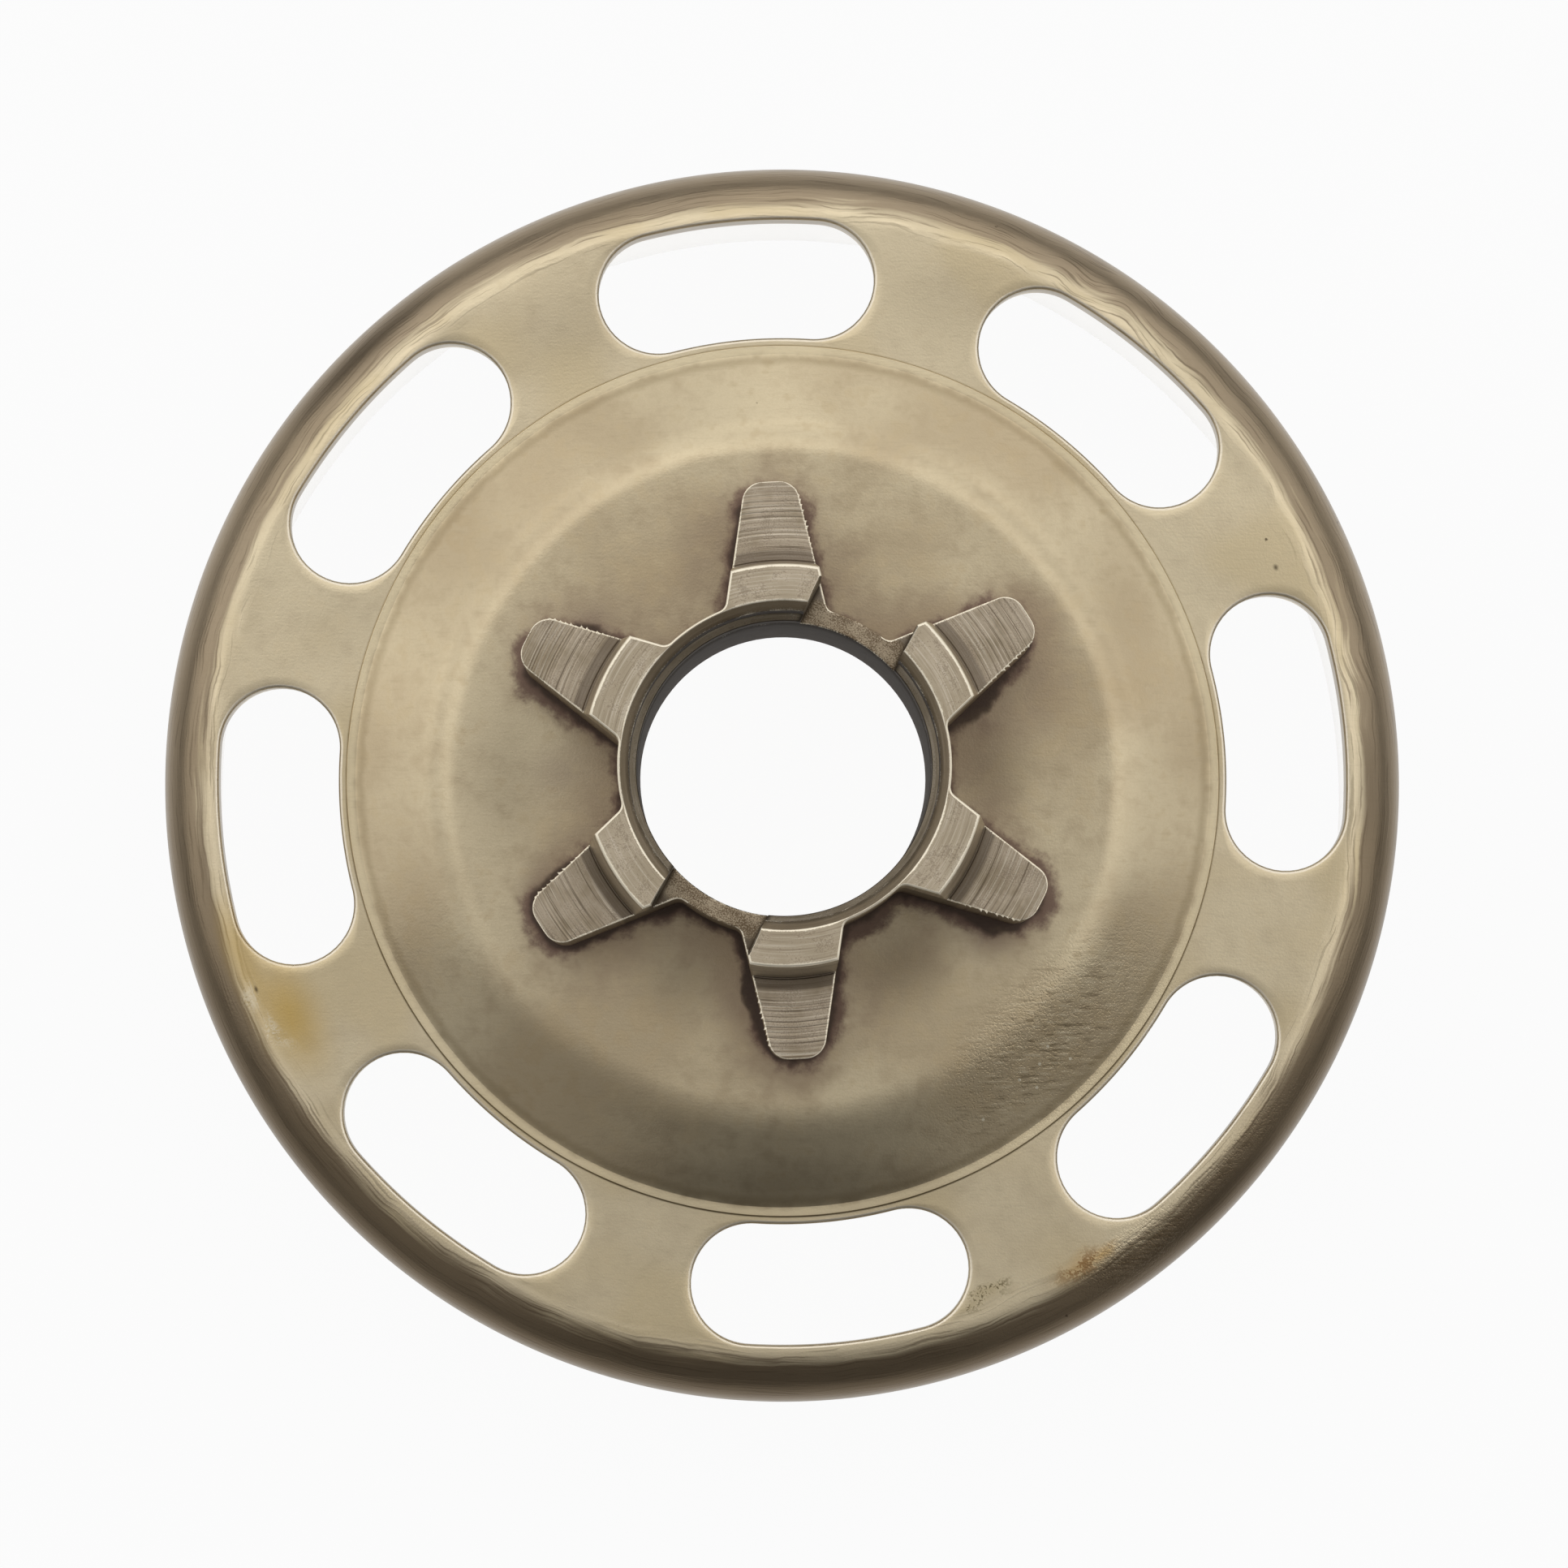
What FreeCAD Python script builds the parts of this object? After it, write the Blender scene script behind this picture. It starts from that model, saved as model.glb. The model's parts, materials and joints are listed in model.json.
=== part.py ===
import FreeCAD, Part
import math
import os

# Clutch drum with its chain sprocket, from a small chain saw.
# Millimetres. The origin is on the axis at the open rim of the drum, and +Z
# runs up the axis to the end of the sprocket. The drum is a cup drawn from
# sheet steel, open side down. The sprocket is turned and toothed from one
# blank, and its spigot is brazed into the middle of the cup. The slot across
# the sprocket's end lies along Y.

# Drum cup
drum_diameter = 65.5
drum_height = 16.0
sheet_thickness = 1.8
rim_bend_radius = 2.9
mouth_edge_bevel = 0.3

# Flat web, from the drum's outside to the foot of the raised middle
web_width = 10.3

# Curved slots through the web, and the flat land left on either side of them
web_slot_count = 8
web_slot_sweep_deg = 18.0
web_slot_first_deg = -12.4
web_slot_edge_bevel = 0.15
slot_to_rim_land = 3.1
slot_to_boss_land = 0.9

# Raised middle of the cup, and the coined line at its foot
boss_rise = 2.4
boss_slope_run = 4.45
boss_shoulder_bend = 4.5
coined_line_width = 0.5
coined_line_height = 0.12

# Bore for the needle cage
bore_radius = 7.5
bore_relief = 0.35
bore_relief_depth = 2.4
bore_mouth_chamfer = 0.47
bore_back_chamfer = 0.3

# Sprocket teeth
tooth_count = 6
tooth_tip_radius = 14.75
tooth_root_wall = 0.92
tooth_root_width = 5.05
tooth_tip_width = 2.6
tooth_tip_corner_radius = 1.05
tooth_root_fillet = 0.55
tooth_length = 6.6

# Ring that stands above the tooth ends, and the slot across it
ring_land = 2.3
ring_height = 3.9
ring_taper_deg = 7.0
ring_edge_bevel = 0.1
drive_slot_width = 5.4

# Spigot brazed into the cup
spigot_wall = 0.7
spigot_stand_out = 1.2
braze_gap = 0.05

# Sizes worked out from those above
drum_radius = drum_diameter / 2
boss_foot_radius = drum_radius - web_width
boss_shoulder_radius = boss_foot_radius - boss_slope_run
slot_outer_radius = drum_radius - slot_to_rim_land
slot_inner_radius = boss_foot_radius + slot_to_boss_land
boss_top_z = drum_height + boss_rise
tooth_face_z = boss_top_z + tooth_length
ring_face_z = tooth_face_z + ring_height
tooth_root_radius = bore_radius + tooth_root_wall
relief_radius = bore_radius + bore_relief
ring_top_radius = relief_radius + ring_land
spigot_radius = bore_radius + spigot_wall
spigot_end_z = boss_top_z - sheet_thickness - spigot_stand_out
cup_hole_radius = spigot_radius + braze_gap

# Cutters run this far past what they cut, and points closer than same_point
# are taken as one
past = 1.0
same_point = 1e-4


def arc(radius):
    return ("arc", radius)


def bevel(reach):
    return ("bevel", reach)


def finished_outline(corners, place):
    """Closed wire through the corners (a, b, finish). A finish is arc(radius),
    bevel(reach along both sides) or None for a sharp corner. place turns the
    flat pair (a, b) into a point in space."""
    stretches = []
    for index, (a, b, finish) in enumerate(corners):
        corner = FreeCAD.Vector(a, b, 0)
        back = (FreeCAD.Vector(*corners[index - 1][:2], 0) - corner).normalize()
        ahead = (FreeCAD.Vector(*corners[(index + 1) % len(corners)][:2], 0) - corner).normalize()
        if finish is None:
            stretches.append([corner])
            continue
        kind, size = finish
        if kind == "bevel":
            stretches.append([corner + back * size, corner + ahead * size])
            continue
        half_angle = back.getAngle(ahead) / 2
        reach = size / math.tan(half_angle)
        inward = (back + ahead).normalize()
        middle = corner + inward * (size / math.sin(half_angle) - size)
        stretches.append([corner + back * reach, middle, corner + ahead * reach])
    edges = []
    for index, stretch in enumerate(stretches):
        points = [place(point.x, point.y) for point in stretch]
        if len(points) == 3:
            edges.append(Part.Arc(*points).toShape())
        elif len(points) == 2:
            edges.append(Part.LineSegment(*points).toShape())
        following = stretches[(index + 1) % len(stretches)][0]
        next_point = place(following.x, following.y)
        if (next_point - points[-1]).Length > same_point:
            edges.append(Part.LineSegment(points[-1], next_point).toShape())
    return Part.Wire(edges)


def turned(corners):
    """Solid turned about Z from a section of corners (radius, z, finish)."""
    section = finished_outline(corners, lambda radius, z: FreeCAD.Vector(radius, 0, z))
    return Part.Face(section).revolve(FreeCAD.Vector(0, 0, 0), FreeCAD.Vector(0, 0, 1), 360)


def polar(radius, angle_deg, z=0.0):
    angle = math.radians(angle_deg)
    return FreeCAD.Vector(radius * math.cos(angle), radius * math.sin(angle), z)


def copies_round_axis(shape, count, first_deg):
    """Copies of a shape at even steps round Z, the first turned by first_deg."""
    copies = []
    for step in range(count):
        copy = shape.copy()
        copy.rotate(FreeCAD.Vector(0, 0, 0), FreeCAD.Vector(0, 0, 1), first_deg + step * 360 / count)
        copies.append(copy)
    return copies


def distance_off_axis(point):
    return math.hypot(point.x, point.y)


def cup_blank():
    """Drawn cup: raised boss, coined line, flat web, bent rim and wall, all of
    one sheet thickness. The underside is the upper side set in by the sheet.
    Its hidden inner corners are bevelled or sharp, and the bends in view are
    true arcs."""
    slope = math.atan2(boss_rise - coined_line_height, boss_slope_run)
    corner_shift = sheet_thickness * math.tan(slope / 2)
    foot_on_web = boss_foot_radius + coined_line_height / math.tan(slope)
    coined_z = drum_height + coined_line_height
    coined_radius = boss_foot_radius + coined_line_width
    under_web_z = drum_height - sheet_thickness
    wall_radius = drum_radius - sheet_thickness
    return turned([
        (cup_hole_radius, boss_top_z, None),
        (boss_shoulder_radius, boss_top_z, arc(boss_shoulder_bend)),
        (boss_foot_radius, coined_z, None),
        (coined_radius, coined_z, None),
        (coined_radius, drum_height, None),
        (drum_radius, drum_height, arc(rim_bend_radius)),
        (drum_radius, 0, bevel(mouth_edge_bevel)),
        (wall_radius, 0, bevel(mouth_edge_bevel)),
        (wall_radius, under_web_z, bevel(rim_bend_radius - sheet_thickness)),
        (foot_on_web - corner_shift, under_web_z, None),
        (boss_shoulder_radius - corner_shift, boss_top_z - sheet_thickness, None),
        (cup_hole_radius, boss_top_z - sheet_thickness, None),
    ])


def web_slot_punch():
    """Curved slot with round ends, centred on the X axis."""
    middle_radius = (slot_outer_radius + slot_inner_radius) / 2
    end_radius = (slot_outer_radius - slot_inner_radius) / 2
    half = web_slot_sweep_deg / 2
    low_z = drum_height - sheet_thickness - past

    def end_of_slot(angle_deg, side_deg):
        """Outermost point of a round end, square to the radius there."""
        return polar(middle_radius, angle_deg, low_z) + polar(end_radius, angle_deg + side_deg)

    edges = [
        Part.Arc(polar(slot_outer_radius, -half, low_z), polar(slot_outer_radius, 0, low_z),
                 polar(slot_outer_radius, half, low_z)),
        Part.Arc(polar(slot_outer_radius, half, low_z), end_of_slot(half, 90),
                 polar(slot_inner_radius, half, low_z)),
        Part.Arc(polar(slot_inner_radius, half, low_z), polar(slot_inner_radius, 0, low_z),
                 polar(slot_inner_radius, -half, low_z)),
        Part.Arc(polar(slot_inner_radius, -half, low_z), end_of_slot(-half, -90),
                 polar(slot_outer_radius, -half, low_z)),
    ]
    wire = Part.Wire([edge.toShape() for edge in edges])
    return Part.Face(wire).extrude(FreeCAD.Vector(0, 0, sheet_thickness + 2 * past))


def make_drum_cup():
    cup = cup_blank()
    for punch in copies_round_axis(web_slot_punch(), web_slot_count, web_slot_first_deg):
        cup = cup.cut(punch)
    upper_slot_edges = []
    for edge in cup.Edges:
        box = edge.BoundBox
        on_web = abs(box.ZMin - drum_height) < same_point and abs(box.ZMax - drum_height) < same_point
        if on_web and distance_off_axis(edge.CenterOfMass) > bore_radius:
            upper_slot_edges.append(edge)
    return cup.makeChamfer(web_slot_edge_bevel, upper_slot_edges)


def toothed_bar():
    """Bar with the full tooth section, from the spigot's end to the ring face.
    Each tooth runs inwards to the bore, so that it is one with the bar."""
    height = ring_face_z - spigot_end_z
    bar = Part.makeCylinder(tooth_root_radius, height, FreeCAD.Vector(0, 0, spigot_end_z))
    flank_slope = (tooth_root_width - tooth_tip_width) / (tooth_tip_radius - tooth_root_radius)
    inner_radius = bore_radius - past
    inner_width = tooth_root_width + flank_slope * (tooth_root_radius - inner_radius)
    outline = finished_outline([
        (inner_radius, -inner_width / 2, None),
        (tooth_tip_radius, -tooth_tip_width / 2, arc(tooth_tip_corner_radius)),
        (tooth_tip_radius, tooth_tip_width / 2, arc(tooth_tip_corner_radius)),
        (inner_radius, inner_width / 2, None),
    ], lambda x, y: FreeCAD.Vector(x, y, spigot_end_z))
    tooth = Part.Face(outline).extrude(FreeCAD.Vector(0, 0, height))
    for copy in copies_round_axis(tooth, tooth_count, 0):
        bar = bar.fuse(copy)
    bar = bar.removeSplitter()
    root_edges = []
    for edge in bar.Edges:
        upright = abs(edge.BoundBox.ZLength - height) < same_point
        at_root = abs(distance_off_axis(edge.CenterOfMass) - tooth_root_radius) < same_point
        if upright and at_root:
            root_edges.append(edge)
    return bar.makeFillet(tooth_root_fillet, root_edges)


def sprocket_blank():
    """Turned blank: spigot, tooth body, tapered ring, relieved bore."""
    ring_foot_radius = ring_top_radius + ring_height * math.tan(math.radians(ring_taper_deg))
    blank_radius = tooth_tip_radius + past
    ledge_z = ring_face_z - bore_relief_depth
    return turned([
        (bore_radius, spigot_end_z, bevel(bore_back_chamfer)),
        (spigot_radius, spigot_end_z, None),
        (spigot_radius, boss_top_z, None),
        (blank_radius, boss_top_z, None),
        (blank_radius, tooth_face_z, None),
        (ring_foot_radius, tooth_face_z, None),
        (ring_top_radius, ring_face_z, bevel(ring_edge_bevel)),
        (relief_radius, ring_face_z, bevel(bore_mouth_chamfer)),
        (relief_radius, ledge_z, None),
        (bore_radius, ledge_z - bore_relief, None),
    ])


def make_sprocket():
    sprocket = sprocket_blank().common(toothed_bar())
    slot_length = 2 * (tooth_tip_radius + past)
    slot = Part.makeBox(drive_slot_width, slot_length, ring_height + past,
                        FreeCAD.Vector(-drive_slot_width / 2, -slot_length / 2, tooth_face_z))
    return sprocket.cut(slot)


os.makedirs("parts", exist_ok=True)
for name, shape in {"drum_cup": make_drum_cup(), "sprocket": make_sprocket()}.items():
    solid = shape.Solids[0]
    print(name, "solids:", len(shape.Solids), "valid:", shape.isValid(), "volume:", round(solid.Volume, 1))
    solid.exportStep("parts/" + name + ".step")
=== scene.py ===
import json
import math

import bmesh
import bpy
import numpy as np
from mathutils import Matrix, Vector


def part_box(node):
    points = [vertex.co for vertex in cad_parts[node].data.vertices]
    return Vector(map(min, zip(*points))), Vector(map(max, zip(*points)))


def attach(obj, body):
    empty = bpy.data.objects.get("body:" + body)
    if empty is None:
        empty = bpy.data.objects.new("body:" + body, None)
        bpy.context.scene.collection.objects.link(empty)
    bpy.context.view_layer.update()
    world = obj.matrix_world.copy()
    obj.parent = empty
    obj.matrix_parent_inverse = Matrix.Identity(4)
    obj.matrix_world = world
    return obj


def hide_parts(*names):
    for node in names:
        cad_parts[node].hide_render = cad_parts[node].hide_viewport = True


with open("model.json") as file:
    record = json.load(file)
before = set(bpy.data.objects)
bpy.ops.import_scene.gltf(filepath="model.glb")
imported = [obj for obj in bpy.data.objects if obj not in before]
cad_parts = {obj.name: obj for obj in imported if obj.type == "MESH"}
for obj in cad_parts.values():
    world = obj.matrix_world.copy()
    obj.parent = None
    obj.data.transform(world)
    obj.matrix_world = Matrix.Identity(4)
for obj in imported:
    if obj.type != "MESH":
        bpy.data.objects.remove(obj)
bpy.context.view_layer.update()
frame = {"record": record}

# Lengths are in millimetres and become metres where a mesh, lamp or camera is made
MM = 0.001
rng = np.random.default_rng(9384)

# The photograph's side in pixels, and how far its right-hand direction is turned from +X
photo_side = 1932
photo_turn_deg = 27.2

# Sizes read from the frame
mounts = {mount["name"]: mount for mount in frame["record"]["mounts"]}
cup_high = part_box("drum_cup")[1] / MM
sprocket_low, sprocket_high = (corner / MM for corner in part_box("sprocket"))
drum_radius = round(cup_high.x, 2)
boss_top_z = round(cup_high.z, 2)
wall_radius = mounts["clutch_shoe_track"]["dims"]["r_mm"]
sheet = drum_radius - wall_radius
bore_radius = mounts["needle_bearing_seat"]["dims"]["r_mm"]
tip_radius = round(sprocket_high.x, 2)
ring_face_z = round(sprocket_high.z, 2)
spigot_end_z = round(sprocket_low.z, 2)

# Cup: flat web, raised boss, coined line, bent rim
boss_rise = 2.4
web_z = boss_top_z - boss_rise
under_z = web_z - sheet
rim_bend = 2.9
mouth_bevel = 0.3
boss_shoulder_radius = 18.0
boss_foot_radius = 22.45
boss_shoulder_bend = 4.5
boss_foot_bend = 2.0
coined_width = 0.5
coined_height = 0.12
coined_bends = 0.08, 0.03, 0.02
coined_lean_in = 0.04
coined_lean_out = 0.02
hole_radius = 8.25

# Slots through the web
slot_count = 8
slot_first_deg = -12.4
slot_half_sweep_deg = 9.0
slot_outer_radius = drum_radius - 3.1
slot_inner_radius = boss_foot_radius + 0.9
slot_middle_radius = (slot_outer_radius + slot_inner_radius) / 2
slot_end_radius = (slot_outer_radius - slot_inner_radius) / 2
slot_roll_depth = 0.13
slot_roll_width = 0.16

# Sprocket
tooth_count = 6
tooth_step = 2 * math.pi / tooth_count
root_radius = bore_radius + 0.92
root_half_width = 2.525
tip_half_width = 1.3
root_fillet = 0.55
tip_corner = 1.05
tooth_length = 6.6
tooth_face_z = boss_top_z + tooth_length
ring_top_radius = 10.15
ring_taper = math.tan(math.radians(7.0))
ring_foot_radius = ring_top_radius + (ring_face_z - tooth_face_z) * ring_taper
bore_relief = 0.35
relief_radius = bore_radius + bore_relief
relief_ledge_z = ring_face_z - 2.4
mouth_chamfer = 0.47
slot_half_width = 2.7
spigot_radius = bore_radius + 0.7

# Steps along a line: degrees of an arc to a step, and the longest straight step
seen_steps = 2.0, 0.35
under_steps = 4.0, 1.2
wall_steps = 12.0, 4.0
bore_steps = 45.0, 2.0

# Points of a piece that are closer than this are one point
same_point = 0.0008


def added(name, data):
    """A new object in the scene."""
    made = bpy.data.objects.new(name, data)
    bpy.context.scene.collection.objects.link(made)
    return made


def hold(mesh, name, values):
    """Keeps a value for each point of a mesh under a name."""
    layer = mesh.attributes.new(name, "FLOAT", "POINT")
    layer.data.foreach_set("value", values.astype(np.float32))


class Shell:
    """Points and faces of one piece, gathered patch by patch in millimetres, with a wear value for each
    point that is 1 on a worn edge and 0 away from it. The sprocket's finish paints these edges bright,
    partly as wear and partly as a painted highlight."""

    def __init__(self):
        self.points = []
        self.wear = []
        self.faces = []
        self.count = 0

    def add_points(self, points, wear):
        flat = np.asarray(points, float).reshape(-1, 3)
        self.points.append(flat)
        self.wear.append(np.broadcast_to(wear, np.shape(points)[:-1]).reshape(-1))
        first = self.count
        self.count += len(flat)
        return first

    def grid(self, points, around=False, rows_around=False, wear=0.0):
        """Quads between the rows and columns of a grid of points, closed along the columns if around, and
        from the last row to the first if rows_around."""
        rows, columns = points.shape[:2]
        first = self.add_points(points, wear)
        row, column = np.meshgrid(np.arange(rows if rows_around else rows - 1),
                                  np.arange(columns if around else columns - 1), indexing="ij")
        next_row, next_column = (row + 1) % rows, (column + 1) % columns
        corners = [row * columns + column, row * columns + next_column,
                   next_row * columns + next_column, next_row * columns + column]
        self.faces.extend((np.stack(corners, -1).reshape(-1, 4) + first).tolist())

    def flat_face(self, points, wear=0.0):
        """One face with all the points of a loop as its corners."""
        first = self.add_points(points, wear)
        self.faces.append(list(range(first, self.count)))

    def build(self, name, finish, sharp_deg, marks):
        """The piece as an object: points closer than same_point are merged and the faces turned outwards.
        marks gives further values for each point, by name, as functions of x, y and z."""
        mesh = bpy.data.meshes.new(name)
        mesh.from_pydata((np.concatenate(self.points) * MM).tolist(), [], self.faces)
        hold(mesh, "wear", np.concatenate(self.wear))
        work = bmesh.new()
        work.from_mesh(mesh)
        bmesh.ops.remove_doubles(work, verts=work.verts, dist=same_point * MM)
        bmesh.ops.recalc_face_normals(work, faces=work.faces)
        work.to_mesh(mesh)
        work.free()
        mesh.polygons.foreach_set("use_smooth", np.ones(len(mesh.polygons), bool))
        mesh.set_sharp_from_angle(angle=math.radians(sharp_deg))
        places = np.empty(len(mesh.vertices) * 3, np.float32)
        mesh.vertices.foreach_get("co", places)
        x, y, z = places.reshape(-1, 3).T / MM
        for mark, value in marks.items():
            hold(mesh, mark, value(x, y, z))
        mesh.materials.append(finish)
        return added(name, mesh)


def rounded_line(corners, arc_step_deg, longest):
    """Line through (a, b, rounding) corners as an array of points. A rounded corner becomes an arc tangent
    to both sides, in steps of arc_step_deg, and a straight stretch has steps of at most longest."""
    corners = np.array(corners, float)
    stretches = [corners[:1, :2]]
    for before, (a, b, rounding), after in zip(corners[:-2, :2], corners[1:-1], corners[2:, :2]):
        corner = np.array([a, b])
        back = (before - corner) / np.linalg.norm(before - corner)
        ahead = (after - corner) / np.linalg.norm(after - corner)
        if rounding == 0:
            stretches.append(corner[None])
            continue
        half = math.acos(np.clip(back @ ahead, -1, 1)) / 2
        inward = (back + ahead) / np.linalg.norm(back + ahead)
        centre = corner + inward * rounding / math.sin(half)
        turn = math.pi - 2 * half
        steps = max(2, math.ceil(math.degrees(turn) / arc_step_deg))
        side = ahead - inward * (ahead @ inward)
        side = side / np.linalg.norm(side)
        swing = np.linspace(-turn / 2, turn / 2, steps + 1)[:, None]
        stretches.append(centre + rounding * (side * np.sin(swing) - inward * np.cos(swing)))
    stretches.append(corners[-1:, :2])
    line = [stretches[0]]
    for stretch in stretches[1:]:
        start, end = line[-1][-1], stretch[0]
        steps = max(1, math.ceil(np.linalg.norm(end - start) / longest))
        line.append(start + (end - start) * np.linspace(0, 1, steps + 1)[1:-1, None])
        line.append(stretch)
    return np.concatenate(line)


def on_circle(radius, angle, height):
    """Points at a radius, angle and height, which are numbers or arrays of one shape."""
    radius, angle, height = np.broadcast_arrays(radius, angle, height)
    return np.stack([radius * np.cos(angle), radius * np.sin(angle), height], -1)


def revolved(line, angles):
    """Grid of a (radius, height) line turned about Z: one row a point, one column an angle."""
    return on_circle(line[:, :1], angles[None], line[:, 1:])


# Unevenness of the pressed sheet: plane cosine waves of seeded lengths and directions
wave_count = 14
wave_height = 0.011
wave_steps = 2 * math.pi / rng.uniform(4.0, 11.0, wave_count)
wave_ways = rng.uniform(0, 2 * math.pi, wave_count)
wave_phases = rng.uniform(0, 2 * math.pi, wave_count)
waves_begin = 15.0, 18.0
waves_end = 29.0, 30.0


def smooth(value, low, high):
    """0 below low, 1 above high and a smooth step between, for numbers or arrays."""
    share = np.clip((value - low) / (high - low), 0, 1)
    return share * share * (3 - 2 * share)


def waved(points):
    """The points with the sum of the sheet's waves added to their height, none of it at the hub or on the
    rim."""
    x, y, z = np.moveaxis(points, -1, 0)
    radius = np.hypot(x, y)
    along = x[..., None] * np.cos(wave_ways) + y[..., None] * np.sin(wave_ways)
    waves = np.cos(along * wave_steps + wave_phases).sum(-1) / math.sqrt(wave_count)
    share = smooth(radius, *waves_begin) * (1 - smooth(radius, *waves_end))
    return np.stack([x, y, z + wave_height * share * waves], -1)


# Grid of the cup: columns to a sector, and where a sector's boundary runs on both sides of the sheet
sector_columns = 48
side_steps = 12
rim_bend_points = 26
sector_in = boss_foot_radius + coined_width + 0.06
sector_out = drum_radius - rim_bend + 0.25
under_sector_out = drum_radius - rim_bend - 0.05
half_sector = math.pi / slot_count
cup_angles = (math.radians(slot_first_deg) - half_sector
              + np.arange(slot_count * sector_columns) * 2 * half_sector / sector_columns)


def web_height(radius):
    """Height of the cup's upper side outside the boss: the web's plane, then the rim's bend."""
    into_bend = np.clip(radius - (drum_radius - rim_bend), 0, rim_bend)
    return web_z - rim_bend + np.sqrt(rim_bend ** 2 - into_bend ** 2)


def slot_outline():
    """Outline of a slot whose middle is on +X, in the plan, with its outward normals. Its samples are
    matched to the sector's boundary: the outer arc with both outer eighths of the ends, the quarter end
    at the positive side, then the inner arc and the other end."""
    half = math.radians(slot_half_sweep_deg)
    eighth = slot_end_radius * math.pi / 4

    def long_side(radius, outward):
        reach = radius * half + eighth
        along = np.linspace(-reach, reach, sector_columns + 1)
        on_arc = np.clip(along / radius, -half, half)
        turn = (along - on_arc * radius) / slot_end_radius
        middle = on_circle(slot_middle_radius, on_arc, 0.0)[:, :2]
        facing = on_arc + turn if outward else on_arc - turn
        normal = np.stack([np.cos(facing), np.sin(facing)], -1) * (1 if outward else -1)
        return middle + normal * slot_end_radius, normal

    def end_side(sign):
        turn = np.linspace(math.pi / 4, 3 * math.pi / 4, side_steps + 1)
        facing = sign * (half + turn)
        middle = on_circle(slot_middle_radius, np.full_like(turn, sign * half), 0.0)[:, :2]
        normal = np.stack([np.cos(facing), np.sin(facing)], -1)
        return middle + normal * slot_end_radius, normal

    outer, inner = long_side(slot_outer_radius, True), long_side(slot_inner_radius, False)
    ahead, behind = end_side(1), end_side(-1)
    parts = [[outer[k][:-1], ahead[k][:-1], inner[k][::-1][:-1], behind[k][::-1][:-1]] for k in (0, 1)]
    return np.concatenate(parts[0]), np.concatenate(parts[1])


def sector_boundary(outer_radius):
    """Boundary of a sector in the plan, sample for sample as slot_outline."""
    across = np.linspace(-half_sector, half_sector, sector_columns + 1)
    along = np.linspace(outer_radius, sector_in, side_steps + 1)
    radius = np.concatenate([np.full(sector_columns, outer_radius), along[:-1],
                             np.full(sector_columns, sector_in), along[::-1][:-1]])
    angle = np.concatenate([across[:-1], np.full(side_steps, half_sector),
                            across[::-1][:-1], np.full(side_steps, -half_sector)])
    return on_circle(radius, angle, 0.0)[:, :2]


def slot_surround(offsets, outer_radius, height):
    """Grid from a slot's edge to its sector's boundary: rows at the given offsets from the outline, then
    rows that blend into the boundary. height gives z from the plan's radius and the offset."""
    outline, normal = slot_outline()
    boundary = sector_boundary(outer_radius)
    blends = np.array([0.15, 0.35, 0.6, 0.82, 1.0])
    near = outline + np.array(offsets)[:, None, None] * normal
    far = near[-1] + blends[:, None, None] * (boundary - near[-1])
    plan = np.concatenate([near, far])
    offset = np.concatenate([offsets, np.full(len(blends), offsets[-1])])[:, None]
    z = height(np.hypot(plan[..., 0], plan[..., 1]), offset)
    return np.concatenate([plan, z[..., None]], -1)


def turned_about_axis(points, angle):
    """The points turned about Z by an angle."""
    cosine, sine = math.cos(angle), math.sin(angle)
    x, y, z = np.moveaxis(points, -1, 0)
    return np.stack([x * cosine - y * sine, x * sine + y * cosine, z], -1)


def turned_axes(x, y, azimuth_deg):
    """x and y of a place, as arrays or values of a material, along axes turned by azimuth_deg."""
    cosine, sine = math.cos(math.radians(azimuth_deg)), math.sin(math.radians(azimuth_deg))
    return x * cosine + y * sine, y * cosine - x * sine


def beside_sector(x, y, count, first):
    """Radius of a place, and its angle to either side of the nearest of count even directions."""
    step = 2 * math.pi / count
    angle = np.arctan2(y, x) - first
    return np.hypot(x, y), np.abs(angle - np.round(angle / step) * step)


def slot_gap(x, y, z):
    """Distance in the plan from the edge of the nearest slot, measured on the metal."""
    radius, side_angle = beside_sector(x, y, slot_count, math.radians(slot_first_deg))
    on_arc = np.minimum(side_angle, math.radians(slot_half_sweep_deg))
    along = radius * np.cos(side_angle) - slot_middle_radius * np.cos(on_arc)
    beside = radius * np.sin(side_angle) - slot_middle_radius * np.sin(on_arc)
    return np.hypot(along, beside) - slot_end_radius


def foot_gap(x, y, z):
    """Distance in the plan from the sprocket's teeth and root circle, negative under them: each tooth is the
    space between its flank lines and inside its tip, with the tip's corners rounded."""
    radius, side_angle = beside_sector(x, y, tooth_count, 0.0)
    along, beside = radius * np.cos(side_angle), radius * np.sin(side_angle)
    from_flank = ((along - root_radius) * flank_normal[0]
                  + (beside - root_half_width) * flank_normal[1] + tip_corner)
    from_tip = along - (tip_radius - tip_corner)
    tooth = (np.hypot(np.maximum(from_flank, 0), np.maximum(from_tip, 0))
             + np.minimum(np.maximum(from_flank, from_tip), 0) - tip_corner)
    far_away = 9.0
    return np.where(z > web_z + boss_rise / 2, np.minimum(tooth, radius - root_radius), far_away)


def blots(*places):
    """Value of soft oval blots at (radius, azimuth in degrees, half-size along the radius, half-size around,
    strength): each has its strength in its middle and 0 at its edge."""

    def value(x, y, z):
        total = np.zeros_like(x)
        for radius, azimuth_deg, radial, around, strength in places:
            out, along = turned_axes(x, y, azimuth_deg)
            total += strength * (1 - smooth(np.hypot((out - radius) / radial, along / around), 0.0, 1.0))
        return np.where(z > web_z / 2, total, 0.0)

    return value
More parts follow.
